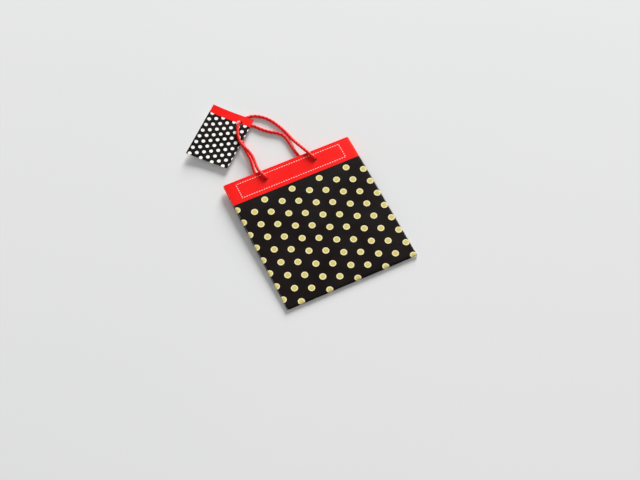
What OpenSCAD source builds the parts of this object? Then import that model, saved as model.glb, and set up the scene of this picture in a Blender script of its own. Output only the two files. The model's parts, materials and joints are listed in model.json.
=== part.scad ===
// Small paper gift bag with a gusset on each side, rope handles and a swing tag, folded flat.
//
// The bag lies on its back. X runs across its width, Y runs up the bag to its mouth and handles,
// and Z points out of its front. The origin is under the middle of the flat bag.
// Each fold of the paper is a hinge, so every panel between two folds is a part of its own.

/* [Bag] */
// Width of the front panel
bag_w = 140; // [120:1:160]
// Height of the front panel, from its bottom fold to its mouth
bag_h = 155; // [140:1:180]
// Depth of the bag from front to back when it stands open
bag_d = 60; // [50:1:64]

/* [Paper and board] */
// Thickness of the printed paper
paper_t = 0.2; // [0.15:0.05:0.25]
// Thickness of the board strips that stiffen the mouth
strip_t = 0.5; // [0.3:0.1:0.6]
// Height of the board strips
strip_h = 25; // [20:1:26]
// Length of paper turned in at the mouth
hem_h = 30; // [28:1:40]
// Thickness of the loose-laid board in the base
base_card_t = 0.5; // [0.3:0.1:0.8]

/* [Handles] */
// Diameter of the rope
cord_d = 3.4; // [2.8:0.1:3.4]
// Distance between the two holes of one handle
hole_span = 55; // [53:1:56]
// Distance from the mouth down to the holes
hole_drop = 11.5; // [10:0.5:13]
// Diameter of the punched holes
hole_d = 4.4; // [3.8:0.2:4.6]
// Length of the flat steel clip on each rope end
clip_l = 14; // [10:1:16]
// Width of the clip
clip_w = 4; // [4:0.5:5]
// Thickness of the clip
clip_t = 0.5; // [0.3:0.1:0.5]

/* [Tag] */
// Width of the tag
tag_w = 47; // [40:1:50]
// Height of the tag
tag_h = 67; // [60:1:70]
// Thickness of the tag's card
tag_t = 0.4; // [0.2:0.05:0.4]
// Diameter of the hole that the rope goes through
tag_hole_d = 6.8; // [6.8:0.2:8]

/* [Hidden] */

$fn = 48;
red = "#e0201c";
black = "#241c1e";
white = "#f2f0ea";
steel = "#b8bcc0";

// Free space left at each fold line, so that the panels on its two sides never touch
fold_gap = 0.3;
// Free space between layers that lie on each other
layer_gap = 0.2;

// Places along Y
bottom_y = -bag_h / 2;
mouth_y = bag_h / 2;
hole_y = mouth_y - hole_drop;
back_fold_y = bottom_y + bag_d / 2;
base_fold_y = bottom_y + bag_d;

// Levels along Z, from the floor up. The back panel lies on the rope of its handle.
back_z = 3.5;
back_in_z = back_z + paper_t;
back_hem_z = back_in_z + strip_t;
lower_gusset_z = back_hem_z + 2 * paper_t + layer_gap;
upper_gusset_z = lower_gusset_z + paper_t + layer_gap;
front_hem_z = upper_gusset_z + 2 * paper_t + layer_gap;
front_z = front_hem_z + paper_t + strip_t;
front_face_z = front_z + paper_t;

// Fold lines of the gussets. The outer two lie midway between the papers that they join.
back_hinge_z = (back_in_z + lower_gusset_z) / 2;
front_hinge_z = (upper_gusset_z + paper_t + front_z) / 2;
gusset_half_w = bag_d / 2 - (front_hinge_z - back_hinge_z) / 2;

// The lower end of the back panel is folded up behind it, on the base
lower_fold_z = back_z - layer_gap - paper_t;
base_side_z = 2 * paper_t;
base_card_z = base_side_z + paper_t;
// How far the long base flaps reach across the base, as a share of the depth
flap_reach = 0.65;
// How much shorter than half the depth the end flaps are
end_flap_gap = 4;

hole_x = [-hole_span / 2, hole_span / 2];
// How far the pieces inside stay in from the edges of the sheet
edge_margin = 1;
// Width of the sheet's glued edge
seam_tab_w = 12;

// Rope. Each route runs from the left hole to the right hole: [x, distance above the holes, z].
cord_r = cord_d / 2;
// Number of flat sides round the rope
cord_sides = 8;
on_front = front_face_z + cord_r + 0.1;
under_back = back_z - cord_r - 0.1;
on_floor = cord_r + 0.05;
front_route = [
    [-hole_span / 2, 0, on_front],
    [-29, 5, on_front],
    [-30.5, 11, on_front],
    [-30.5, 18, 8.1],
    [-29.5, 25, 7.7],
    [-29, 32, 7.2],
    [-30, 40, 6.8],
    [-32, 48, 6.3],
    [-32.7, 55.5, 5.9],
    [-31.7, 62, 5.9],
    [-29.9, 67.5, 5.9],
    [-28.2, 71.8, 6],
    [-26.9, 74.4, 6],
    [-25.9, 75.9, 5.85],
    [-24.8, 77.2, 5.2],
    [-23.6, 78.3, 3.8],
    [-22.3, 79.3, 2.4],
    [-20.9, 80.1, on_floor],
    [-18.7, 81.2, on_floor],
    [-15.9, 82.2, on_floor],
    [-12.5, 82.7, on_floor],
    [-8.8, 82.4, on_floor],
    [-4.5, 80.9, on_floor],
    [0.5, 77.6, on_floor],
    [5.1, 73, on_floor],
    [9.1, 66.7, on_floor],
    [12.5, 58.7, on_floor],
    [15.2, 50.7, on_floor],
    [17.2, 42.5, on_floor],
    [18.5, 34.5, 3.1],
    [20, 26.5, 5.3],
    [21.8, 18.5, 7.5],
    [23.5, 12, on_front],
    [25.5, 6, on_front],
    [hole_span / 2, 0, on_front]
];
back_route = [
    [-hole_span / 2, 0, under_back],
    [-30.5, 4, under_back],
    [-33, 9.5, under_back],
    [-33.6, 16.5, on_floor],
    [-32.3, 24.5, on_floor],
    [-31, 32, on_floor],
    [-30.8, 40, on_floor],
    [-30.8, 47, on_floor],
    [-29.8, 54.5, on_floor],
    [-27.8, 62, on_floor],
    [-25, 68.2, on_floor],
    [-21, 72.2, on_floor],
    [-15.8, 73, on_floor],
    [-11.2, 70, on_floor],
    [-7, 64.6, on_floor],
    [-2.5, 59.2, on_floor],
    [2.5, 54.6, on_floor],
    [7.8, 50.6, on_floor],
    [11.6, 45.8, on_floor],
    [13.3, 40, on_floor],
    [13.8, 33.5, on_floor],
    [14.1, 26, on_floor],
    [14.9, 19, on_floor],
    [16.4, 12.5, on_floor],
    [18.7, 7, under_back],
    [22, 2.8, under_back],
    [hole_span / 2, 0, under_back]
];

// Tag: its middle, the turn of its upright about Z, and the hole as seen from its middle
tag_at = [-48.3, 70.8];
tag_turn = -48.5;
tag_z = 3.6;
tag_hole_at = [10.8, 23.5];

// ---- Shapes that repeat ----

// A box from its lowest corner to its highest
module slab(low, high) {
    translate(low)
        cube(high - low);
}

// The two holes of a handle, cut through everything between two levels
module handle_holes(low_z, high_z) {
    for (x = hole_x)
        translate([x, hole_y, low_z - 1])
            cylinder(d = hole_d, h = high_z - low_z + 2);
}

// A front or back panel: paper, turned over the board strip at the mouth. out_z is the level of
// its outer sheet, hem_z the level of the turned-in part, and from_y its lower edge.
module panel(out_z, hem_z, from_y) {
    low_z = min(out_z, hem_z);
    high_z = max(out_z, hem_z) + paper_t;
    difference() {
        union() {
            slab([-bag_w / 2, from_y, out_z], [bag_w / 2, mouth_y, out_z + paper_t]);
            slab([-bag_w / 2 + edge_margin, mouth_y - hem_h, hem_z],
                 [bag_w / 2 - edge_margin, mouth_y, hem_z + paper_t]);
            slab([-bag_w / 2 + edge_margin, mouth_y - paper_t, low_z],
                 [bag_w / 2 - edge_margin, mouth_y, high_z]);
        }
        handle_holes(low_z, high_z);
    }
}

// The board strip inside a panel's hem
module board_strip(z) {
    difference() {
        slab([-bag_w / 2 + edge_margin, mouth_y - paper_t - strip_h, z],
             [bag_w / 2 - edge_margin, mouth_y - paper_t, z + strip_t]);
        handle_holes(z, z + strip_t);
    }
}

// Half of the right gusset, with its paper turned in at the mouth on the side given by hem_z
module gusset_half(z, hem_z) {
    outer_x = bag_w / 2 - fold_gap;
    inner_x = bag_w / 2 - gusset_half_w + fold_gap;
    slab([inner_x, bottom_y + fold_gap, z], [outer_x, mouth_y - fold_gap, z + paper_t]);
    slab([inner_x, mouth_y - hem_h, hem_z],
         [outer_x - edge_margin, mouth_y - fold_gap, hem_z + paper_t]);
}

// A base flap in plan, reaching from the bag's bottom fold line across the base
module long_flap() {
    cut = bag_d * (1 - flap_reach);
    near_y = bottom_y + fold_gap;
    far_y = bottom_y + bag_d * flap_reach;
    polygon([
        [-bag_w / 2, near_y],
        [bag_w / 2, near_y],
        [bag_w / 2, far_y - cut],
        [bag_w / 2 - cut, far_y],
        [-bag_w / 2 + cut, far_y],
        [-bag_w / 2, far_y - cut]
    ]);
}

// The base flap at the right end, mitred at both corners
module end_flap() {
    near_y = bottom_y + fold_gap;
    far_y = base_fold_y - fold_gap;
    reach = bag_d / 2 - end_flap_gap;
    linear_extrude(paper_t)
        polygon([
            [bag_w / 2, near_y],
            [bag_w / 2, far_y],
            [bag_w / 2 - reach, far_y - reach],
            [bag_w / 2 - reach, near_y + reach]
        ]);
}

// The rope's end in its hole, as thick as the panel
module rope_end(x, low_z, high_z) {
    translate([x, hole_y, low_z])
        cylinder(d = cord_d, h = high_z - low_z);
}

// The flat clip that keeps a rope's end from pulling out through the hole
module clip(x, z) {
    translate([x, hole_y, z])
        linear_extrude(clip_t)
            union() {
                square([clip_l - clip_w, clip_w], center = true);
                for (side = [-1, 1])
                    translate([side * (clip_l - clip_w) / 2, 0])
                        circle(d = clip_w);
            }
}

// ---- Rope as a tube swept along its route ----

function unit(v) = v / norm(v);

// Direction of the route at one of its points
function along(route, i) = unit(route[min(i + 1, len(route) - 1)] - route[max(i - 1, 0)]);

// Points of the ring round one of the route's points
function ring(route, i) =
    let (
        ahead = along(route, i),
        side = unit(cross(ahead, [0, 0, 1])),
        up = cross(side, ahead)
    )
    [for (k = [0:cord_sides - 1])
        route[i] + cord_r * (cos(360 * k / cord_sides) * side + sin(360 * k / cord_sides) * up)];

module rope(route) {
    last = len(route) - 1;
    points = [for (i = [0:last]) each ring(route, i)];
    walls = [
        for (i = [0:last - 1], k = [0:cord_sides - 1])
            let (a = i * cord_sides, next = (k + 1) % cord_sides)
            each [
                [a + k, a + next, a + cord_sides + next],
                [a + k, a + cord_sides + next, a + cord_sides + k]
            ]
    ];
    first_cap = [for (k = [cord_sides - 1:-1:0]) k];
    last_cap = [for (k = [0:cord_sides - 1]) last * cord_sides + k];
    translate([0, hole_y, 0])
        polyhedron(points, concat(walls, [first_cap, last_cap]));
}

// ---- Back of the bag, which lies still ----

module back_panel() {
    color(black)
        panel(back_z, back_hem_z, back_fold_y + fold_gap);
}

module back_board_strip() {
    color(white)
        board_strip(back_in_z);
}

// The sheet's glued edge, along the inside of the back panel's left fold
module side_seam_tab() {
    color(white)
        slab([-bag_w / 2 + edge_margin, back_fold_y + fold_gap, back_in_z],
             [-bag_w / 2 + edge_margin + seam_tab_w, mouth_y - hem_h - edge_margin, back_in_z + paper_t]);
}

// The lower end of the back panel, folded up behind it
module back_lower_fold() {
    color(black)
        slab([-bag_w / 2, back_fold_y + fold_gap, lower_fold_z],
             [bag_w / 2, base_fold_y - fold_gap, lower_fold_z + paper_t]);
}

// ---- Front of the bag ----

module front_panel() {
    color(black)
        panel(front_z, front_hem_z, bottom_y);
}

module front_board_strip() {
    color(white)
        board_strip(front_hem_z + paper_t);
}

// ---- Gussets, each folded inwards along its middle ----

module right_gusset_back_half() {
    color(black)
        gusset_half(lower_gusset_z, lower_gusset_z - paper_t);
}

module right_gusset_front_half() {
    color(black)
        gusset_half(upper_gusset_z, upper_gusset_z + paper_t);
}

module left_gusset_back_half() {
    color(black)
        mirror([1, 0, 0])
            gusset_half(lower_gusset_z, lower_gusset_z - paper_t);
}

module left_gusset_front_half() {
    color(black)
        mirror([1, 0, 0])
            gusset_half(upper_gusset_z, upper_gusset_z + paper_t);
}

// ---- Base, folded up under the back ----

module base_outer_flap() {
    color(black)
        translate([0, bottom_y + base_fold_y, 0])
            mirror([0, 1, 0])
                linear_extrude(paper_t)
                    long_flap();
}

module base_inner_flap() {
    color(black)
        translate([0, 0, paper_t])
            linear_extrude(paper_t)
                long_flap();
}

module base_right_flap() {
    color(black)
        translate([0, 0, base_side_z])
            end_flap();
}

module base_left_flap() {
    color(black)
        mirror([1, 0, 0])
            translate([0, 0, base_side_z])
                end_flap();
}

module base_board() {
    color(white)
        slab([-bag_w / 2 + 2 * edge_margin, bottom_y + 2 * edge_margin, base_card_z],
             [bag_w / 2 - 2 * edge_margin, base_fold_y - 2 * edge_margin, base_card_z + base_card_t]);
}

// ---- Handles ----

module front_handle_rope() {
    color(red)
        rope(front_route);
}

module back_handle_rope() {
    color(red)
        rope(back_route);
}

module front_left_rope_end() {
    color(red)
        rope_end(hole_x[0], front_hem_z, front_face_z);
}

module front_right_rope_end() {
    color(red)
        rope_end(hole_x[1], front_hem_z, front_face_z);
}

module back_left_rope_end() {
    color(red)
        rope_end(hole_x[0], back_z, back_hem_z + paper_t);
}

module back_right_rope_end() {
    color(red)
        rope_end(hole_x[1], back_z, back_hem_z + paper_t);
}

module front_left_clip() {
    color(steel)
        clip(hole_x[0], front_hem_z - clip_t);
}

module front_right_clip() {
    color(steel)
        clip(hole_x[1], front_hem_z - clip_t);
}

module back_left_clip() {
    color(steel)
        clip(hole_x[0], back_hem_z + paper_t);
}

module back_right_clip() {
    color(steel)
        clip(hole_x[1], back_hem_z + paper_t);
}

// ---- Tag ----

module tag() {
    color(black)
        translate([tag_at[0], hole_y + tag_at[1], tag_z])
            rotate([0, 0, tag_turn])
                difference() {
                    slab([-tag_w / 2, -tag_h / 2, 0], [tag_w / 2, tag_h / 2, tag_t]);
                    translate([tag_hole_at[0], tag_hole_at[1], -1])
                        cylinder(d = tag_hole_d, h = tag_t + 2);
                }
}

back_panel();
back_board_strip();
side_seam_tab();
back_lower_fold();
front_panel();
front_board_strip();
left_gusset_back_half();
left_gusset_front_half();
right_gusset_back_half();
right_gusset_front_half();
base_outer_flap();
base_inner_flap();
base_left_flap();
base_right_flap();
base_board();
front_handle_rope();
front_left_rope_end();
front_right_rope_end();
front_left_clip();
front_right_clip();
back_handle_rope();
back_left_rope_end();
back_right_rope_end();
back_left_clip();
back_right_clip();
tag();
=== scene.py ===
import json
import math

import bmesh
import bpy
import numpy as np
from mathutils import Matrix, Vector


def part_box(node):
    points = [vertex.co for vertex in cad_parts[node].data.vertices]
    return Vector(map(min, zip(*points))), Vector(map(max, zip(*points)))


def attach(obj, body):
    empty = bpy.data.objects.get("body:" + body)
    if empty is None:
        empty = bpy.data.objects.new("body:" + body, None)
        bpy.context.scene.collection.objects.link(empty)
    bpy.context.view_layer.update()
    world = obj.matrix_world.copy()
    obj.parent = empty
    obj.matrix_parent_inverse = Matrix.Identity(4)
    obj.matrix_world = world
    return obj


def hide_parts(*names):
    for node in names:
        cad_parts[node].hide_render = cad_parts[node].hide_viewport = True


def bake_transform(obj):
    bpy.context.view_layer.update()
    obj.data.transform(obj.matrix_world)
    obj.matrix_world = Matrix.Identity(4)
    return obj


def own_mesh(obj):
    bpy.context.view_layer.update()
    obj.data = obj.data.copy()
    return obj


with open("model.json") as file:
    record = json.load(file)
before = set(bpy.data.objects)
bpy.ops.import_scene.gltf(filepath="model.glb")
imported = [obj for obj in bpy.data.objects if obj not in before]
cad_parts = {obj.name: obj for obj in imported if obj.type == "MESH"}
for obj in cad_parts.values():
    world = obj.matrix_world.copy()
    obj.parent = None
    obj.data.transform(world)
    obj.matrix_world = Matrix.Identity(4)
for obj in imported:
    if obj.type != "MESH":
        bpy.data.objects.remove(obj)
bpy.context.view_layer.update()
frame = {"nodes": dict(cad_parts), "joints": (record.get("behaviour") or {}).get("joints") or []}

MM = 0.001
PAPER = 0.2 * MM
# The free space that the CAD solids leave at each fold line
FOLD_GAP = 0.3 * MM

# ---- Places of the bag's sheets, from the frame ----

FRONT_LOW, FRONT_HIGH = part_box("front_panel")
BACK_LOW, BACK_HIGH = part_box("back_panel")
LOWER_LOW, LOWER_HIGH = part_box("back_lower_fold")
HALF_W = FRONT_HIGH.x
MOUTH_Y, BOTTOM_Y = FRONT_HIGH.y, FRONT_LOW.y
BACK_FOLD_Y = LOWER_LOW.y - FOLD_GAP
BASE_FOLD_Y = LOWER_HIGH.y + FOLD_GAP
HEM_H = 30 * MM
HOLE_X = sum(v.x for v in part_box("front_right_rope_end")) / 2
HOLE_Y = sum(v.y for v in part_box("front_right_rope_end")) / 2
HOLE_D = 4.4 * MM
HOLE_SIDES = 40
ROPE_D = 3.4 * MM

# The stiff mouth lies level. Below it the sheets slope down to the bag's thin bottom edge. FLAT is the
# share of that slope and of the sheets' unevenness that is left when the bag is open. DROOP_EASE is the share
# of the slope's length over which it steepens.
STIFF_Y = MOUTH_Y - 27 * MM
FRONT_DROOP = 4.2 * MM
GUSSET_DROOP = 3.5 * MM
BACK_DROOP = 2.0 * MM
LOWER_DROOP = 1.85 * MM
DROOP_EASE = 0.06

# Height of the sheets' unevenness, and the lengths over which it fades in from their edges and from the
# stiff mouth
RIPPLE = 0.1 * MM
EDGE_FADE = 8 * MM
MOUTH_FADE = 20 * MM


def droop(y, full, end_y):
    """How far a sheet lies below its level at the mouth: nothing down to STIFF_Y, and full at end_y."""
    share = np.maximum(0.0, (STIFF_Y - np.asarray(y, float)) / (STIFF_Y - end_y))
    return full * share**2 * (1 + DROOP_EASE) / (share + DROOP_EASE)


# ---- Camera ----

LOOK_AT = Vector((-8.75, -22.1, 3.9)) * MM
CAMERA_DISTANCE = 1.2827
CAMERA_AZIMUTH = math.radians(-24.3)
CAMERA_ELEVATION = math.radians(58.89)
CAMERA_ROLL = math.radians(-1.32)
LENS_MM = 72.7


def add_camera():
    """The photo's camera. LOOK_AT is the point in the middle of its view."""
    data = bpy.data.cameras.new("camera")
    data.lens = LENS_MM
    data.sensor_width = 36
    data.clip_start = 0.05
    data.clip_end = 20
    camera = bpy.data.objects.new("camera", data)
    bpy.context.scene.collection.objects.link(camera)
    flat = math.cos(CAMERA_ELEVATION)
    back = Vector((math.sin(CAMERA_AZIMUTH) * flat, -math.cos(CAMERA_AZIMUTH) * flat,
                   math.sin(CAMERA_ELEVATION)))
    right = Vector((0, 0, 1)).cross(back).normalized()
    up = back.cross(right)
    turn = Matrix((right, up, back)).transposed().to_4x4() @ Matrix.Rotation(CAMERA_ROLL, 4, "Z")
    camera.matrix_world = Matrix.Translation(LOOK_AT + back * CAMERA_DISTANCE) @ turn
    bpy.context.scene.camera = camera


# ---- Materials ----

def linear(red, green, blue):
    """An sRGB colour of 0 to 255 as the linear colour that a shader takes."""
    out = []
    for c in (red, green, blue):
        c /= 255
        out.append(c / 12.92 if c <= 0.04045 else ((c + 0.055) / 1.055) ** 2.4)
    return (*out, 1.0)


class Shade:
    """A material's node tree with short calls for the nodes used here."""

    def __init__(self, name, roughness, specular=0.5, metallic=0.0):
        self.material = bpy.data.materials.new(name)
        self.material.use_nodes = True
        self.tree = self.material.node_tree
        self.shader = next(n for n in self.tree.nodes if n.type == "BSDF_PRINCIPLED")
        self.set("Roughness", roughness)
        self.set("Specular IOR Level", specular)
        self.set("Metallic", metallic)

    def set(self, socket, value):
        self.put(self.shader.inputs[socket], value)

    def put(self, socket, value):
        """Links a node's output to the socket, or writes a plain value on it."""
        if isinstance(value, bpy.types.NodeSocket):
            self.tree.links.new(value, socket)
        else:
            socket.default_value = value

    def math(self, operation, *values):
        node = self.tree.nodes.new("ShaderNodeMath")
        node.operation = operation
        for socket, value in zip(node.inputs, values):
            self.put(socket, value)
        return node.outputs[0]

    def step(self, value, low, high, start=0.0, end=1.0):
        """start below low, end above high, and smooth between them."""
        node = self.tree.nodes.new("ShaderNodeMapRange")
        node.interpolation_type = "SMOOTHSTEP"
        for socket, x in zip(node.inputs, (value, low, high, start, end)):
            self.put(socket, x)
        return node.outputs[0]

    def near(self, value, place, half, soft=0.06):
        """1 within half of place, and 0 away from it."""
        away = self.math("ABSOLUTE", self.math("SUBTRACT", value, place))
        return self.step(away, half - soft, half + soft, 1.0, 0.0)

    def mix(self, share, a, b):
        """Colour a where share is 0, and colour b where it is 1."""
        node = self.tree.nodes.new("ShaderNodeMix")
        node.data_type = "RGBA"
        for index, value in ((0, share), (6, a), (7, b)):
            self.put(node.inputs[index], value)
        return node.outputs[2]

    def uv(self):
        node = self.tree.nodes.new("ShaderNodeUVMap")
        node.uv_map = "print"
        return node.outputs[0]

    def place(self):
        return self.tree.nodes.new("ShaderNodeTexCoord").outputs["Object"]

    def attribute(self, name):
        node = self.tree.nodes.new("ShaderNodeAttribute")
        node.attribute_name = name
        return node.outputs["Fac"]

    def axes(self, vector):
        node = self.tree.nodes.new("ShaderNodeSeparateXYZ")
        self.put(node.inputs[0], vector)
        return node.outputs

    def scaled(self, vector, scale):
        node = self.tree.nodes.new("ShaderNodeMapping")
        self.put(node.inputs["Vector"], vector)
        node.inputs["Scale"].default_value = scale
        return node.outputs[0]

    def noise(self, vector, scale, detail=3.0, rough=0.55):
        node = self.tree.nodes.new("ShaderNodeTexNoise")
        for name, value in (("Vector", vector), ("Scale", scale), ("Detail", detail), ("Roughness", rough)):
            self.put(node.inputs[name], value)
        return node.outputs["Fac"]

    def bump(self, height, distance, onto=None):
        node = self.tree.nodes.new("ShaderNodeBump")
        self.put(node.inputs["Height"], height)
        node.inputs["Distance"].default_value = distance
        if onto is not None:
            self.put(node.inputs["Normal"], onto)
        return node.outputs[0]


RED = linear(246, 18, 14)
RED_LIGHTER = linear(250, 24, 18)
BLACK = linear(13, 5, 3)
BLACK_LIGHTER = linear(21, 11, 9)
GOLD = linear(219, 203, 122)
GOLD_RIM = linear(250, 240, 184)
STITCH = linear(255, 236, 226)
# Colours of the fold edges: partly wear, partly a painted highlight where the folds catch the light
WORN_AND_HIGHLIT_BLACK = linear(150, 140, 138)
WORN_AND_HIGHLIT_RED = linear(255, 118, 96)
PRINT_SPECULAR = 0.08
PRINT_ROUGHNESS = 0.46

# The print, in millimetres. Distances down start at the mouth.
BAND_H = 27.0
DOT_R = 3.45
# The lighter rim of a dot starts between these radii.
RIM_IN, RIM_OUT = 2.15, 2.75
# No dot has its middle above this, so that none touches the band.
DOT_TOP = BAND_H + DOT_R - 1.3
DOT_FIRST = (-HALF_W / MM + 30.88, 65.28)
DOT_PITCH = (15.18, 15.86)
# How much lower every second column starts, and how much lower each column starts than the one before
DOT_ODD = 9.1
DOT_SLANT = 0.0073 * DOT_PITCH[0]
STITCH_X = (-58.4, 57.4)
STITCH_DOWN = (4.8, 22.1)
STITCH_PITCH = 2.74
STITCH_HALF = 0.3
# Half of a stitch's length, as a share of the pitch
STITCH_SHARE = 0.27
# Half the width of an edge in the print
SOFT = 0.06


def paper_grain(shade, uv):
    """Fine fibres and the slow unevenness of laminated paper, as one bump."""
    fibres = shade.noise(shade.scaled(uv, (900, 2100, 1)), 1.0, 4.0)
    slow = shade.noise(uv, 55.0, 2.0)
    return shade.bump(slow, 0.25 * MM, shade.bump(fibres, 0.012 * MM))


def dot_grid(shade, across, down, first, pitch, odd, slant=0.0):
    """(distance to the nearest dot's middle, that middle's distance down) for dots in staggered columns."""
    column = shade.math("ROUND", shade.math("DIVIDE", shade.math("SUBTRACT", across, first[0]), pitch[0]))
    from_column = shade.math("SUBTRACT", across, shade.math("MULTIPLY_ADD", column, pitch[0], first[0]))
    stagger = shade.math("MULTIPLY", shade.math("FLOORED_MODULO", column, 2.0), odd)
    start = shade.math("ADD", shade.math("ADD", stagger, first[1]), shade.math("MULTIPLY", column, slant))
    row = shade.math("ROUND", shade.math("DIVIDE", shade.math("SUBTRACT", down, start), pitch[1]))
    middle = shade.math("MULTIPLY_ADD", row, pitch[1], start)
    from_row = shade.math("SUBTRACT", down, middle)
    squares = shade.math("ADD", shade.math("POWER", from_column, 2.0), shade.math("POWER", from_row, 2.0))
    return shade.math("SQRT", squares), middle


def stitch_mask(shade, across, down):
    """The printed dashed rectangle on the red band."""
    def dashes(value):
        part = shade.math("FRACT", shade.math("DIVIDE", value, STITCH_PITCH))
        return shade.near(part, 0.5, STITCH_SHARE, 0.04)

    def within(value, span):
        return shade.near(value, sum(span) / 2, (span[1] - span[0]) / 2 + STITCH_HALF)

    along = shade.math("MULTIPLY", dashes(across), within(across, STITCH_X))
    upright = shade.math("MULTIPLY", dashes(down), within(down, STITCH_DOWN))
    rows = [shade.math("MULTIPLY", along, shade.near(down, y, STITCH_HALF)) for y in STITCH_DOWN]
    ends = [shade.math("MULTIPLY", upright, shade.near(across, x, STITCH_HALF)) for x in STITCH_X]
    mask = rows[0]
    for other in rows[1:] + ends:
        mask = shade.math("MAXIMUM", mask, other)
    return mask


def printed_paper(name, stitched):
    """Laminated paper: black with gold dots, a red band at the mouth, scuffed along the folds and lightened
    there by a painted highlight.
    """
    shade = Shade(name, PRINT_ROUGHNESS, PRINT_SPECULAR)
    uv = shade.uv()
    across, down, _ = shade.axes(shade.scaled(uv, (1 / MM, 1 / MM, 1)))
    distance, middle = dot_grid(shade, across, down, DOT_FIRST, DOT_PITCH, DOT_ODD, DOT_SLANT)
    clear = shade.step(middle, DOT_TOP - 0.1, DOT_TOP + 0.1)
    ragged = shade.math("MULTIPLY_ADD", shade.noise(uv, 2600.0, 2.0), 0.22, distance)
    dot = shade.math("MULTIPLY", shade.step(ragged, DOT_R, DOT_R + 0.2, 1.0, 0.0), clear)
    gold = shade.mix(shade.step(distance, RIM_IN, RIM_OUT), GOLD, GOLD_RIM)
    tone = shade.noise(uv, 120.0, 4.0)
    black = shade.mix(tone, BLACK, BLACK_LIGHTER)
    red = shade.mix(tone, RED, RED_LIGHTER)
    colour = shade.mix(dot, black, gold)
    band = shade.step(down, BAND_H - SOFT, BAND_H + SOFT, 1.0, 0.0)
    colour = shade.mix(band, colour, red)
    if stitched:
        colour = shade.mix(stitch_mask(shade, across, down), colour, STITCH)
    # The folds are scuffed in flecks, a little past the front's edges; the same light flecks also stand as a
    # painted highlight where the fold edges catch the light.
    edge = shade.near(shade.math("ABSOLUTE", across), HALF_W / MM + 0.2, 0.4, 0.2)
    flecks = shade.step(shade.noise(shade.scaled(uv, (700, 260, 1)), 1.0, 4.0), 0.36, 0.56)
    worn_and_highlight = shade.math("MULTIPLY", shade.math("MULTIPLY", edge, flecks), 0.6)
    colour = shade.mix(worn_and_highlight, colour, shade.mix(band, WORN_AND_HIGHLIT_BLACK, WORN_AND_HIGHLIT_RED))
    shade.set("Base Color", colour)
    smears = shade.noise(uv, 24.0, 5.0)
    shade.set("Roughness", shade.step(smears, 0.3, 0.7, 0.36, 0.5))
    shade.set("Normal", paper_grain(shade, uv))
    return shade.material


def white_paper():
    """The unprinted inside of the paper and its cut edges."""
    shade = Shade("white_paper", 0.7, 0.3)
    uv = shade.uv()
    fibres = shade.noise(uv, 700.0, 4.0)
    shade.set("Base Color", shade.mix(fibres, linear(236, 234, 228), linear(246, 245, 241)))
    shade.set("Normal", paper_grain(shade, uv))
    return shade.material


# The tag's print, in millimetres from its top left corner
TAG_BAND = 10.2
TAG_DOT_R = 1.95
TAG_DOT_TOP = TAG_BAND - 0.8
TAG_DOT_FIRST = (3.5, 10.7)
TAG_DOT_PITCH = (6.33, 7.8)
TAG_DOT_ODD = 3.92
TAG_DOT_SLANT = 0.08


def printed_tag():
    """The tag's print: a red band over black with white dots. It has its own UV, from its top left corner."""
    shade = Shade("printed_tag", PRINT_ROUGHNESS, PRINT_SPECULAR)
    uv = shade.uv()
    across, down, _ = shade.axes(shade.scaled(uv, (1 / MM, 1 / MM, 1)))
    distance, middle = dot_grid(shade, across, down, TAG_DOT_FIRST, TAG_DOT_PITCH, TAG_DOT_ODD, TAG_DOT_SLANT)
    shown = shade.step(middle, TAG_DOT_TOP - 0.1, TAG_DOT_TOP + 0.1)
    ragged = shade.math("MULTIPLY_ADD", shade.noise(uv, 3600.0, 2.0), 0.16, distance)
    dot = shade.math("MULTIPLY", shade.step(ragged, TAG_DOT_R, TAG_DOT_R + 0.16, 1.0, 0.0), shown)
    tone = shade.noise(uv, 150.0, 4.0)
    colour = shade.mix(dot, shade.mix(tone, BLACK, BLACK_LIGHTER), linear(252, 250, 246))
    band = shade.step(down, TAG_BAND - SOFT, TAG_BAND + SOFT, 1.0, 0.0)
    shade.set("Base Color", shade.mix(band, colour, shade.mix(tone, RED, RED_LIGHTER)))
    shade.set("Roughness", shade.step(shade.noise(uv, 40.0, 4.0), 0.3, 0.7, 0.34, 0.48))
    shade.set("Normal", paper_grain(shade, uv))
    return shade.material


def card(name, low, high):
    """Uncoated board: speckled, matt, with fibres along it, and darkened to a deep red round its holes as
    painted shade.
    """
    shade = Shade(name, 0.85, 0.25)
    place = shade.place()
    fibres = shade.noise(shade.scaled(place, (500, 2600, 2600)), 1.0, 5.0)
    specks = shade.step(shade.noise(place, 1900.0, 1.0), 0.68, 0.74, 0.0, 0.35)
    colour = shade.mix(specks, shade.mix(fibres, low, high), linear(120, 112, 100))
    x, y, _ = shade.axes(place)
    # Painted shade: a dark red ring darkens the walls of the rope holes.
    from_x = shade.math("SUBTRACT", shade.math("ABSOLUTE", x), HOLE_X)
    from_y = shade.math("SUBTRACT", y, HOLE_Y)
    squares = shade.math("ADD", shade.math("POWER", from_x, 2.0), shade.math("POWER", from_y, 2.0))
    painted_hole_shade = shade.step(shade.math("SQRT", squares), HOLE_D / 2 + 0.2 * MM, HOLE_D / 2 + 0.6 * MM, 1.0, 0.0)
    shade.set("Base Color", shade.mix(painted_hole_shade, colour, linear(70, 20, 18)))
    shade.set("Normal", shade.bump(fibres, 0.03 * MM))
    return shade.material


def steel():
    """Thin tinned steel with fine drawing lines and dull patches."""
    shade = Shade("tinned_steel", 0.32, 0.5, 1.0)
    place = shade.place()
    lines = shade.noise(shade.scaled(place, (120, 6000, 6000)), 1.0, 4.0)
    dull = shade.noise(place, 420.0, 4.0)
    shade.set("Base Color", shade.mix(dull, linear(96, 96, 98), linear(136, 137, 139)))
    shade.set("Roughness", shade.step(dull, 0.3, 0.7, 0.26, 0.46))
    shade.set("Normal", shade.bump(lines, 0.01 * MM))
    return shade.material


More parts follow.
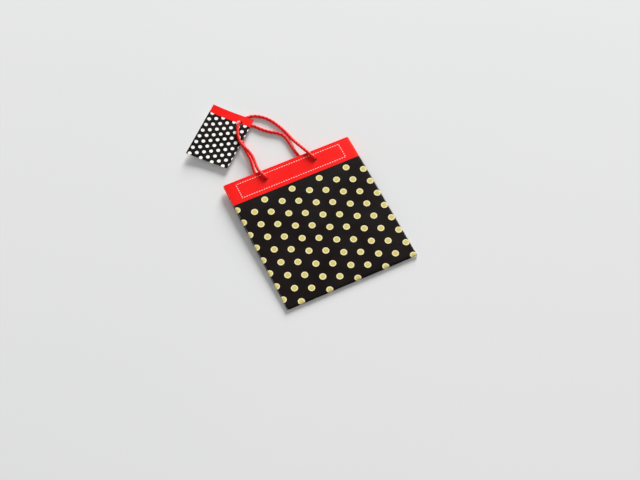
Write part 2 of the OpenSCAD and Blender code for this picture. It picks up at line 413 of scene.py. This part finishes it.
def rope_fibre():
    """Red twisted rope, darker in the grooves between its strands as painted shade. UV runs round a strand
    and along the rope, and groove is 0 between the strands.
    """
    shade = Shade("red_rope", 0.55, 0.3)
    uv = shade.uv()
    fibres = shade.noise(shade.scaled(uv, (26, 340, 1)), 1.0, 4.0, 0.65)
    groove = shade.attribute("groove")
    lit = shade.mix(fibres, linear(250, 14, 10), linear(255, 40, 28))
    # Painted shade: the colour goes from the lit red to a deeper red towards the grooves between the strands.
    depth = shade.step(groove, 0.0, 0.6)
    shade.set("Base Color", shade.mix(depth, linear(226, 10, 8), lit))
    shade.set("Sheen Weight", 0.12)
    shade.set("Sheen Roughness", 0.4)
    shade.set("Sheen Tint", linear(255, 170, 160))
    shade.set("Normal", shade.bump(fibres, 0.07 * MM))
    return shade.material


def floor_paper():
    """Plain pale studio floor."""
    shade = Shade("floor", 0.9, 0.1)
    place = shade.place()
    slow = shade.noise(place, 1.5, 2.0)
    shade.set("Base Color", shade.mix(slow, linear(222, 223, 223), linear(228, 228, 227)))
    return shade.material


# ---- Meshes ----

# Faces that meet at a larger angle than this are shaded apart.
SHARP = math.radians(50)


def add_mesh(name, points, faces, materials, face_materials=None, uv=None):
    """A mesh object from points, faces and, for each point, its print coordinates."""
    mesh = bpy.data.meshes.new(name)
    mesh.from_pydata([tuple(float(x) for x in p) for p in points], [], faces)
    for material in materials:
        mesh.materials.append(material)
    if face_materials is not None:
        mesh.polygons.foreach_set("material_index", face_materials)
    if uv is not None:
        layer = mesh.uv_layers.new(name="print")
        corners = np.zeros(len(mesh.loops), int)
        mesh.loops.foreach_get("vertex_index", corners)
        layer.data.foreach_set("uv", np.asarray(uv, float)[corners].ravel())
    mesh.validate()
    mesh.update()
    mesh.polygons.foreach_set("use_smooth", [True] * len(mesh.polygons))
    mesh.set_sharp_from_angle(angle=SHARP)
    made = bpy.data.objects.new(name, mesh)
    bpy.context.scene.collection.objects.link(made)
    return made


def grid_faces(rows, columns, first=0):
    """Quads of a grid of points. They face the side from which columns run right and rows run up."""
    out = []
    for j in range(rows - 1):
        for i in range(columns - 1):
            a = first + j * columns + i
            out.append((a, a + 1, a + columns + 1, a + columns))
    return out


def sheet(name, points, uv, materials, printed_up=True, thick=PAPER):
    """A closed sheet of paper. points is the printed face, as rows of points that run up and columns that run
    right; the paper lies behind it. Material 0 is the print, and material 1 the back and the cut edges."""
    rows, columns, _ = points.shape
    across = np.gradient(points, axis=1)
    upward = np.gradient(points, axis=0)
    normal = np.cross(across, upward)
    normal /= np.maximum(np.linalg.norm(normal, axis=2, keepdims=True), 1e-12)
    sign = 1 if printed_up else -1
    behind = points - sign * normal * thick
    count = rows * columns
    face = grid_faces(rows, columns)
    back = [tuple(reversed(f)) for f in grid_faces(rows, columns, count)]
    rim = [*range(columns)]
    rim += [j * columns + columns - 1 for j in range(1, rows)]
    rim += [(rows - 1) * columns + i for i in range(columns - 2, -1, -1)]
    rim += [j * columns for j in range(rows - 2, 0, -1)]
    sides = [(rim[k - 1], rim[k - 1] + count, rim[k] + count, rim[k]) for k in range(len(rim))]
    faces = face + back + sides
    if not printed_up:
        faces = [tuple(reversed(f)) for f in faces]
    kinds = [0] * len(face) + [1] * (len(back) + len(sides))
    flat_uv = np.concatenate([uv.reshape(-1, 2)] * 2)
    return add_mesh(name, np.concatenate([points.reshape(-1, 3), behind.reshape(-1, 3)]), faces, materials,
                    kinds, flat_uv)


def ripple(x, y):
    """A slight unevenness of paper, a few centimetres from crest to crest."""
    return RIPPLE * (np.sin(41 * x + 1.3) * np.cos(33 * y + 0.4) + 0.6 * np.sin(87 * x - 61 * y + 2.1)) / 1.6


def cut_hole(piece, middle, diameter, depth, sides):
    """Cuts an upright round hole through a piece."""
    bpy.ops.mesh.primitive_cylinder_add(vertices=sides, radius=diameter / 2, depth=depth, location=middle)
    tool = bpy.context.object
    cut = piece.modifiers.new("hole", "BOOLEAN")
    cut.operation = "DIFFERENCE"
    cut.solver = "EXACT"
    cut.object = tool
    mesh = bpy.data.meshes.new_from_object(piece.evaluated_get(bpy.context.evaluated_depsgraph_get()))
    piece.modifiers.clear()
    piece.data = mesh
    bpy.data.objects.remove(tool)


def cut_rope_holes(piece, low, high):
    """Cuts the two rope holes through a piece between two levels."""
    for x in (-HOLE_X, HOLE_X):
        cut_hole(piece, (x, HOLE_Y, (low + high) / 2), HOLE_D, high - low, HOLE_SIDES)


# ---- The bag's sheets ----

# A fold's edge: its radius where it leaves the sheet, and where it turns in again at its foot
RIM_R = 0.6 * MM
FOOT_R = 0.35 * MM
# Depth of the folds at the sides of the front and of the back, at the front's bottom and at the base
FRONT_RIM, BACK_RIM, BOTTOM_RIM, BASE_RIM = 1.6 * MM, 1.55 * MM, 2.2 * MM, 1.3 * MM
# The share by which the front's side folds are thinner at the bottom than at the mouth
THINNER = 0.45
# The front and the back end this far below the mouth, and the hem starts a little below their end.
LIP = 0.9 * MM
HEM_START = 0.95 * MM
# The hem's outside lies this much further out than the sheet that it carries on.
HEM_RAISE = 0.01 * MM
# The print is squeezed on turned-in paper, so that the whole of it stays within the red band.
HEM_PRINT = 0.8
# The base's sheets go on this far into the fold line that they hang on, and past the CAD sheets' sides. Their
# lower ends stay this far inside the front's bottom edge.
BASE_REACH = 0.4 * MM
BASE_WIDER = 0.5 * MM
BASE_INSET = 0.86 * MM


def fold_rim(depth):
    """Points (outwards, downwards) of a fold's round edge, from where it leaves the flat sheet."""
    out = [(RIM_R * math.sin(a), RIM_R * (1 - math.cos(a))) for a in np.radians([0, 22, 45, 68, 90])]
    out += [(RIM_R, RIM_R + (depth - RIM_R - FOOT_R) * s) for s in (0.5, 1.0)]
    out += [(RIM_R - FOOT_R * (1 - math.cos(a)), depth - FOOT_R * (1 - math.sin(a)))
            for a in np.radians([35, 70])]
    return out


def with_rims(low, high, count, rim_low, rim_high):
    """Places across a sheet, with a rim at either end: (place, drop, unrolled place) for each column."""
    middle = [(x, 0.0, x) for x in np.linspace(low, high, count)]

    def rim(points, start, sign):
        out, run, last = [], 0.0, (0.0, 0.0)
        for o, d in points[1:]:
            run += math.hypot(o - last[0], d - last[1])
            last = (o, d)
            out.append((start + sign * o, d, start + sign * run))
        return out

    left = rim(rim_low, low, -1)[::-1] if rim_low else []
    right = rim(rim_high, high, 1) if rim_high else []
    return np.array(left + middle + right)


def folded_sheet(name, columns, rows, level, printed_up, materials, thinner=0.0):
    """A sheet whose columns and rows come from with_rims. level(y) is its printed face, and its rims fold
    away from that face. thinner is the share by which the side rims shrink towards the bottom."""
    sign = 1 if printed_up else -1
    x, y = np.meshgrid(columns[:, 0], rows[:, 0])
    side, end = np.meshgrid(columns[:, 1], rows[:, 1])
    side = side * (1 - thinner * np.clip((STIFF_Y - y) / (STIFF_Y - BOTTOM_Y), 0, 1))
    drop = np.maximum(side, end)
    inside = np.clip((HALF_W - np.abs(x)) / EDGE_FADE, 0, 1)
    below_mouth = np.clip((STIFF_Y - y) / MOUTH_FADE, 0, 1)
    above_end = np.clip((y - rows[:, 0].min()) / EDGE_FADE, 0, 1)
    z = level(y) - sign * drop + ripple(x, y) * inside * (below_mouth * above_end)
    u, v = np.meshgrid(columns[:, 2], MOUTH_Y - rows[:, 2])
    return sheet(name, np.dstack([x, y, z]), np.dstack([u, v]), materials, printed_up)


def front_level(y):
    """Height of the front's printed face."""
    return FRONT_HIGH.z - droop(y, FRONT_DROOP, BOTTOM_Y)


def back_level(y):
    """Height of the back's printed face."""
    return BACK_LOW.z - droop(y, BACK_DROOP, BACK_FOLD_Y)


def add_front(paper, white):
    columns = with_rims(-HALF_W, HALF_W, 50, fold_rim(FRONT_RIM), fold_rim(FRONT_RIM))
    rows = with_rims(BOTTOM_Y, MOUTH_Y - LIP, 56, fold_rim(BOTTOM_RIM), None)
    made = folded_sheet("front_sheet", columns, rows, front_level, True, [paper, white], thinner=THINNER)
    cut_rope_holes(made, FRONT_HIGH.z - 2 * MM, FRONT_HIGH.z + 2 * MM)
    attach(made, "front")
    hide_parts("front_panel")
    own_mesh(made)


def add_back(paper, white):
    columns = with_rims(-HALF_W, HALF_W, 50, fold_rim(BACK_RIM), fold_rim(BACK_RIM))
    rows = with_rims(BACK_FOLD_Y, MOUTH_Y - LIP, 46, None, None)
    made = folded_sheet("back_sheet", columns, rows, back_level, False, [paper, white])
    cut_rope_holes(made, BACK_LOW.z - 2 * MM, BACK_LOW.z + 2 * MM)
    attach(made, "back")
    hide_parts("back_panel")
    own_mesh(made)


def add_hem(side, outer_z, hem_z, materials):
    """The paper that is rolled over the mouth and turned in over the board strip. outer_z and hem_z are the
    levels of its two outsides."""
    sign = 1 if outer_z > hem_z else -1
    gap = abs(outer_z - hem_z)
    lip = [(MOUTH_Y - HEM_START, 0.0), (MOUTH_Y - 0.6 * MM, 0.0)]
    turn = [(MOUTH_Y - gap / 2 * (1 - math.sin(a)), gap / 2 * (1 - math.cos(a)))
            for a in np.radians(np.linspace(0, 180, 11))]
    under = [(MOUTH_Y - gap / 2 - s * MM, gap) for s in np.linspace(1, 29, 15)]
    run, rows, last = -HEM_START, [], lip[0]
    for y, drop in lip + turn + under:
        run += math.hypot(y - last[0], drop - last[1])
        last = (y, drop)
        rows.append((y, drop, MOUTH_Y + run))
    rows = np.array(rows)
    columns = np.linspace(-HALF_W + 0.4 * MM, HALF_W - 0.4 * MM, 48)
    x, y = np.meshgrid(columns, rows[:, 0])
    z = outer_z + sign * HEM_RAISE - sign * np.repeat(rows[:, 1:2], len(columns), axis=1)
    v = np.repeat(HEM_PRINT * np.abs(MOUTH_Y - rows[:, 2:3]), len(columns), axis=1)
    made = sheet(side + "_hem", np.dstack([x, y, z]), np.dstack([x, v]), materials, sign > 0)
    cut_rope_holes(made, min(outer_z, hem_z) - 1 * MM, max(outer_z, hem_z) + 1 * MM)
    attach(made, side)


def add_gusset(side, half, paper, white):
    """One half of a gusset, with its paper turned in at the mouth. Its print carries on round the fold."""
    node = f"{side}_gusset_{half}_half"
    low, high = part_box(node)
    sign = -1 if side == "left" else 1
    printed_up = half == "back"
    face_z = high.z if printed_up else low.z
    plain_z = face_z - PAPER if printed_up else face_z + PAPER
    # Both sides reach into their fold lines, the outer one to just inside the rolled edge it meets.
    outer = HALF_W + (0.52 * MM if printed_up else 0.4 * MM)
    inner = min(abs(low.x), abs(high.x)) - 0.29 * MM
    low_y, high_y = BOTTOM_Y - 0.05 * MM, MOUTH_Y - 0.1 * MM
    x, y = np.meshgrid(sign * np.linspace(outer, inner, 14)[::-sign], np.linspace(low_y, high_y, 56))
    z = face_z - droop(y, GUSSET_DROOP, BOTTOM_Y)
    unrolled = sign * (2 * HALF_W - np.abs(x))
    plate = sheet(node + "_sheet", np.dstack([x, y, z]), np.dstack([unrolled, MOUTH_Y - y]),
                  [paper, white], printed_up)
    outer, inner, low_y = outer - 0.6 * MM, inner + 0.02 * MM, MOUTH_Y - HEM_H
    x, y = np.meshgrid(sign * np.linspace(outer, inner, 14)[::-sign], np.linspace(low_y, high_y, 12))
    z = plain_z - droop(y, GUSSET_DROOP, BOTTOM_Y)
    turned = sheet(node + "_turned", np.dstack([x, y, z]), np.dstack([x, HEM_PRINT * (MOUTH_Y - y)]),
                   [paper, paper], printed_up)
    join(plate, turned)
    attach(plate, f"{side}_gusset_{half}")
    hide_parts(node)
    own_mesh(plate)


def join(kept, other):
    """Makes other a part of kept."""
    bpy.ops.object.select_all(action="DESELECT")
    kept.select_set(True)
    other.select_set(True)
    bpy.context.view_layer.objects.active = kept
    bpy.ops.object.join()


def add_back_lower(paper, white):
    """The lowest part of the back, folded up between the back and the base."""
    columns = np.linspace(-HALF_W, HALF_W, 50)
    rows = with_rims(BACK_FOLD_Y, BASE_FOLD_Y, 14, None, fold_rim(BASE_RIM))
    x, y = np.meshgrid(columns, rows[:, 0])
    z = LOWER_HIGH.z - LOWER_DROOP - np.repeat(rows[:, 1:2], len(columns), axis=1)
    # The print runs on down the back past its fold line.
    down = MOUTH_Y - BACK_FOLD_Y + (rows[:, 2:3] - BACK_FOLD_Y)
    v = np.repeat(down, len(columns), axis=1)
    made = sheet("back_lower_sheet", np.dstack([x, y, z]), np.dstack([x, v]), [paper, white], True)
    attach(made, "back_lower")
    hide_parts("back_lower_fold")
    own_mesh(made)


def base_sheet(node, materials, wider):
    """A finely divided copy of one of the base's CAD sheets, with print coordinates. wider is how much it is
    widened at either side."""
    name = node + "_sheet"
    mesh = bpy.data.meshes.new(name)
    work = bmesh.new()
    work.from_mesh(frame["nodes"][node].data)
    bmesh.ops.remove_doubles(work, verts=work.verts, dist=0.01 * MM)
    for _ in range(2):
        bmesh.ops.subdivide_edges(work, edges=work.edges, cuts=1, use_grid_fill=True)
    for v in work.verts:
        y = v.co.y + BASE_REACH if v.co.y > LOWER_HIGH.y - 0.1 * MM else v.co.y
        v.co = (v.co.x * (1 + wider / HALF_W), max(y, BOTTOM_Y + BASE_INSET), v.co.z)
    work.to_mesh(mesh)
    work.free()
    mesh.materials.clear()
    for material in materials:
        mesh.materials.append(material)
    layer = mesh.uv_layers.new(name="print")
    for loop in mesh.loops:
        co = mesh.vertices[loop.vertex_index].co
        layer.data[loop.index].uv = (co.x, MOUTH_Y - BOTTOM_Y + co.y - BOTTOM_Y)
    made = bpy.data.objects.new(name, mesh)
    bpy.context.scene.collection.objects.link(made)
    return made


def add_base(paper, white, board):
    """The base's glued flaps and its loose board, which close up to the front when the bag opens."""
    for node in ("base_outer_flap", "base_inner_flap", "base_left_flap", "base_right_flap", "base_board"):
        if node == "base_board":
            made = base_sheet(node, [board], 0.0)
        else:
            made = base_sheet(node, [paper, white], BASE_WIDER)
            for p in made.data.polygons:
                p.material_index = 0 if p.normal.z < -0.5 else 1
        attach(made, "base")
        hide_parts(node)
        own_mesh(made)


def add_seam_tab(white):
    """The glued edge of the bag's one sheet, along the inside of the back."""
    low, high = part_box("side_seam_tab")
    x, y = np.meshgrid(np.linspace(low.x, high.x, 5), np.linspace(low.y, high.y, 30))
    z = high.z - droop(y, BACK_DROOP, BACK_FOLD_Y)
    made = sheet("seam_tab_sheet", np.dstack([x, y, z]), np.dstack([x, MOUTH_Y - y]), [white, white], True)
    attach(made, "back")
    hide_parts("side_seam_tab")
    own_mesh(made)


# ---- Ropes ----

STRANDS = 3
# Length of rope in which its strands go round once
TWIST = 13 * MM
RING_STEP = 0.5 * MM
RING_POINTS = 27
CURVE_POINTS = 20
# The least radius, in the grooves between strands, as a share of the rope's
ROPE_FILL = 0.85
# Any direction that isn't along the start of a rope
SIDEWAYS = (0.3, 1.0, 0.0)
# Units of the rope's texture in a metre of it
FIBRES_ALONG = 10

# Levels of a rope's middle, in millimetres
ON_FRONT = 8.5
UNDER_BACK = 1.7
ON_FLOOR = 1.75

# Each route is [x, distance above the holes, z] in millimetres, from the left hole to the right one.
FRONT_ROUTE = [
    [-27.4, 0.5, 4.8],
    [-27.5, 0.6, 6.4],
    [-27.8, 1.6, 7.9],
    [-28.3, 3.4, ON_FRONT],
    [-29, 5.8, ON_FRONT],
    [-30.5, 11, ON_FRONT],
    [-30.5, 18, 8.1],
    [-29.5, 25, 7.7],
    [-29, 32, 7.2],
    [-30, 40, 6.8],
    [-32, 48, 6.3],
    [-32.7, 55.5, 5.9],
    [-31.7, 62, 5.9],
    [-29.9, 67.5, 5.9],
    [-28.2, 71.8, 6],
    [-26.9, 74.4, 6],
    [-25.9, 75.9, 5.85],
    [-24.8, 77.2, 5.2],
    [-23.6, 78.3, 3.8],
    [-22.3, 79.3, 2.4],
    [-20.9, 80.1, ON_FLOOR],
    [-18.7, 81.2, ON_FLOOR],
    [-15.9, 82.2, ON_FLOOR],
    [-12.5, 82.7, ON_FLOOR],
    [-8.8, 82.4, ON_FLOOR],
    [-4.5, 80.9, ON_FLOOR],
    [0.5, 77.6, ON_FLOOR],
    [5.1, 73, ON_FLOOR],
    [9.1, 66.7, ON_FLOOR],
    [12.5, 58.7, ON_FLOOR],
    [15.2, 50.7, ON_FLOOR],
    [17.2, 42.5, ON_FLOOR],
    [18.5, 34.5, 3.1],
    [20, 26.5, 5.3],
    [21.8, 18.5, 7.5],
    [23.5, 12, ON_FRONT],
    [25.4, 6.4, ON_FRONT],
    [26.5, 3.6, ON_FRONT],
    [27, 1.7, 7.9],
    [27.3, 0.6, 6.4],
    [27.4, 0.5, 4.8],
]
BACK_ROUTE = [
    [-27.6, 0.5, 5.2],
    [-27.8, 0.6, 3.8],
    [-28.4, 1.6, 2.3],
    [-29.3, 3, 1.75],
    [-30.6, 5, UNDER_BACK],
    [-33, 9.5, UNDER_BACK],
    [-33.6, 16.5, ON_FLOOR],
    [-32.3, 24.5, ON_FLOOR],
    [-31, 32, ON_FLOOR],
    [-30.8, 40, ON_FLOOR],
    [-30.8, 47, ON_FLOOR],
    [-29.8, 54.5, ON_FLOOR],
    [-27.8, 62, ON_FLOOR],
    [-25, 68.2, ON_FLOOR],
    [-21, 72.2, ON_FLOOR],
    [-15.8, 73, ON_FLOOR],
    [-11.2, 70, ON_FLOOR],
    [-7, 64.6, ON_FLOOR],
    [-2.5, 59.2, ON_FLOOR],
    [2.5, 54.6, ON_FLOOR],
    [7.8, 50.6, ON_FLOOR],
    [11.6, 45.8, ON_FLOOR],
    [13.3, 40, ON_FLOOR],
    [13.8, 33.5, ON_FLOOR],
    [14.1, 26, ON_FLOOR],
    [14.9, 19, ON_FLOOR],
    [16.4, 12.5, ON_FLOOR],
    [18.7, 7, UNDER_BACK],
    [21.8, 3.3, UNDER_BACK],
    [24.4, 1.6, 1.9],
    [26.3, 0.9, 2.6],
    [27.1, 0.4, 3.9],
    [27.3, 0.3, 5.2],
]


def smooth_line(route, step):
    """(evenly spaced points, length) of a smooth curve through the route's points, in metres. It keeps the
    rope above the floor."""
    p = np.array(route) * MM + np.array([0, HOLE_Y, 0])
    p = np.vstack([2 * p[0] - p[1], p, 2 * p[-1] - p[-2]])
    knots = np.concatenate([[0], np.cumsum(np.sqrt(np.linalg.norm(np.diff(p, axis=0), axis=1)))])
    out = []
    for i in range(1, len(p) - 2):
        t0, t1, t2, t3 = knots[i - 1:i + 3]
        for t in np.linspace(t1, t2, CURVE_POINTS, endpoint=False):
            a = ((t1 - t) * p[i - 1] + (t - t0) * p[i]) / (t1 - t0)
            b = ((t2 - t) * p[i] + (t - t1) * p[i + 1]) / (t2 - t1)
            c = ((t3 - t) * p[i + 1] + (t - t2) * p[i + 2]) / (t3 - t2)
            d = ((t2 - t) * a + (t - t0) * b) / (t2 - t0)
            e = ((t3 - t) * b + (t - t1) * c) / (t3 - t1)
            out.append(((t2 - t) * d + (t - t1) * e) / (t2 - t1))
    out = np.array(out + [p[-2]])
    out[:, 2] = np.maximum(out[:, 2], ROPE_D / 2)
    along = np.concatenate([[0], np.cumsum(np.linalg.norm(np.diff(out, axis=0), axis=1))])
    at = np.linspace(0, along[-1], int(along[-1] / step) + 1)
    return np.stack([np.interp(at, along, out[:, k]) for k in range(3)], axis=1), along[-1]


def rope(name, route, nodes, material):
    """A rope of twisted strands along its route, from inside its left hole to inside its right one."""
    line, length = smooth_line(route, RING_STEP)
    ahead = np.gradient(line, axis=0)
    ahead /= np.linalg.norm(ahead, axis=1, keepdims=True)
    strand_r = ROPE_D / 2 / (1 + 1 / math.sin(math.pi / STRANDS))
    centre_r = ROPE_D / 2 - strand_r
    side = np.cross(ahead[0], SIDEWAYS)
    points, uv, groove = [], [], []
    for k, (place, forward) in enumerate(zip(line, ahead)):
        side = side - forward * (side @ forward)
        side /= np.linalg.norm(side)
        up = np.cross(forward, side)
        run = k * RING_STEP
        for i in range(RING_POINTS):
            angle = 2 * math.pi * i / RING_POINTS
            strand = angle * STRANDS % (2 * math.pi)
            off = (strand - math.pi) / STRANDS
            reach = centre_r * math.cos(off) + math.sqrt(max(strand_r**2 - (centre_r * math.sin(off))**2, 0))
            radius = max(reach, ROPE_FILL * ROPE_D / 2)
            turned = angle + 2 * math.pi * run / TWIST
            points.append(place + radius * (math.cos(turned) * side + math.sin(turned) * up))
            round_strand = strand / (2 * math.pi) + math.floor(angle * STRANDS / (2 * math.pi))
            uv.append((round_strand, run * FIBRES_ALONG))
            groove.append((radius / (ROPE_D / 2) - ROPE_FILL) / (1 - ROPE_FILL))
    rings, n = len(line), RING_POINTS
    faces = [(j * n + i, j * n + (i + 1) % n, (j + 1) * n + (i + 1) % n, (j + 1) * n + i)
             for j in range(rings - 1) for i in range(n)]
    faces += [tuple(range(n - 1, -1, -1)), tuple((rings - 1) * n + i for i in range(n))]
    made = add_mesh(name, points, faces, [material], uv=uv)
    layer = made.data.attributes.new("groove", "FLOAT", "POINT")
    layer.data.foreach_set("value", groove)
    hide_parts(*nodes)
    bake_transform(made)


# ---- Tag ----

TAG_HOLE_D = 6.8 * MM
TAG_HOLE_SIDES = 48
TAG_BOW = 0.1 * MM
# How far the card's left side lifts
TAG_LIFT = 3.2 * MM
TAG_COLUMNS, TAG_ROWS = 26, 36


def add_tag(print_material, white):
    """The swing tag: a slightly bowed card with a hole, printed on its face."""
    joint = next(j for j in frame["joints"] if j["name"] == "tag_swivel")
    hole = Vector(joint["pos_m"])
    low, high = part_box("tag")
    middle = (low + high) / 2
    corners = [v.co for v in frame["nodes"]["tag"].data.vertices if (v.co - hole).xy.length > 4 * MM]
    top = max(corners, key=lambda c: c.y)
    left = min(corners, key=lambda c: c.x)
    right = max(corners, key=lambda c: c.x)
    # The card's left side runs from its leftmost corner up to its highest one, and its top from there to its
    # rightmost one.
    upright = Vector((top.x - left.x, top.y - left.y, 0)).normalized()
    width = Vector((upright.y, -upright.x, 0))
    tall = (top - left).xy.length
    wide = (right - top).xy.length
    points = np.zeros((TAG_ROWS, TAG_COLUMNS, 3))
    uv = np.zeros((TAG_ROWS, TAG_COLUMNS, 2))
    for j in range(TAG_ROWS):
        for i in range(TAG_COLUMNS):
            a, b = i / (TAG_COLUMNS - 1) - 0.5, j / (TAG_ROWS - 1) - 0.5
            place = middle + width * (a * wide) + upright * (b * tall)
            bow = TAG_BOW * math.cos(math.pi * b) + TAG_LIFT * (0.5 - a)**3.4 * (0.8 + 0.4 * b)
            points[j, i] = (place.x, place.y, high.z + bow - TAG_BOW)
            uv[j, i] = ((a + 0.5) * wide, (0.5 - b) * tall)
    made = sheet("tag_card", points, uv, [print_material, white], True, thick=high.z - low.z)
    cut_hole(made, hole, TAG_HOLE_D, 12 * MM, TAG_HOLE_SIDES)
    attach(made, "tag")
    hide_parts("tag")
    return made


# ---- Stage ----

FLOOR_HALF = 6.0
FLOOR_POINTS = 9
# Azimuth and elevation in degrees, distance and width in metres, and power in watts
KEY_LIGHT = (52, 20, 8.0, 3.6, 1180.0)
FILL_LIGHT = (235, 60, 2.6, 1.8, 7.0)
SKY_COLOUR = (0.99, 1.0, 1.0, 1.0)
SKY_STRENGTH = 0.33


def add_floor():
    """A flat square under the bag."""
    places = np.linspace(-FLOOR_HALF, FLOOR_HALF, FLOOR_POINTS)
    x, y = np.meshgrid(places, places)
    points = np.dstack([x, y, np.zeros_like(x)]).reshape(-1, 3)
    floor = add_mesh("floor", points, grid_faces(FLOOR_POINTS, FLOOR_POINTS), [floor_paper()])


def add_light(name, azimuth, elevation, distance, size, power):
    """A round light that shines on the origin."""
    data = bpy.data.lights.new(name, "AREA")
    data.shape = "DISK"
    data.size = size
    data.energy = power
    light = bpy.data.objects.new(name, data)
    bpy.context.scene.collection.objects.link(light)
    a, e = math.radians(azimuth), math.radians(elevation)
    towards = Vector((math.cos(a) * math.cos(e), math.sin(a) * math.cos(e), math.sin(e)))
    light.location = towards * distance
    light.rotation_mode = "QUATERNION"
    light.rotation_quaternion = towards.to_track_quat("Z", "Y")


def add_stage():
    add_floor()
    add_light("key", *KEY_LIGHT)
    add_light("fill", *FILL_LIGHT)
    world = bpy.data.worlds.new("studio")
    world.use_nodes = True
    sky = next(n for n in world.node_tree.nodes if n.type == "BACKGROUND")
    sky.inputs["Color"].default_value = SKY_COLOUR
    sky.inputs["Strength"].default_value = SKY_STRENGTH
    bpy.context.scene.world = world
    bpy.context.scene.view_settings.view_transform = "Standard"


# ---- Build ----

def dress(nodes, material):
    """Puts a material on CAD nodes that stay as they are."""
    for node in nodes:
        frame["nodes"][node].data.materials.clear()
        frame["nodes"][node].data.materials.append(material)


def main():
    add_camera()
    paper = printed_paper("printed_front", True)
    plain_paper = printed_paper("printed_side", False)
    white = white_paper()
    red_rope = rope_fibre()
    tag_card = add_tag(printed_tag(), white)
    for side, route, exit_z, with_pieces in (("front", FRONT_ROUTE, FRONT_HIGH.z, [tag_card]),
                                             ("back", BACK_ROUTE, BACK_LOW.z, ())):
        nodes = [side + "_handle_rope", side + "_left_rope_end", side + "_right_rope_end"]
        rope(side + "_rope", route, nodes, red_rope)
    add_front(paper, white)
    add_back(paper, white)
    add_hem("front", FRONT_HIGH.z, FRONT_LOW.z, [plain_paper, white])
    add_hem("back", BACK_LOW.z, BACK_HIGH.z, [plain_paper, white])
    for side in ("left", "right"):
        for half in ("front", "back"):
            add_gusset(side, half, plain_paper, white)
    add_back_lower(plain_paper, white)
    board = card("grey_board", linear(196, 190, 180), linear(216, 211, 203))
    add_base(plain_paper, white, board)
    add_seam_tab(white)
    dress(("front_board_strip", "back_board_strip"), board)
    dress(("front_left_clip", "front_right_clip", "back_left_clip", "back_right_clip"), steel())
    add_stage()


main()
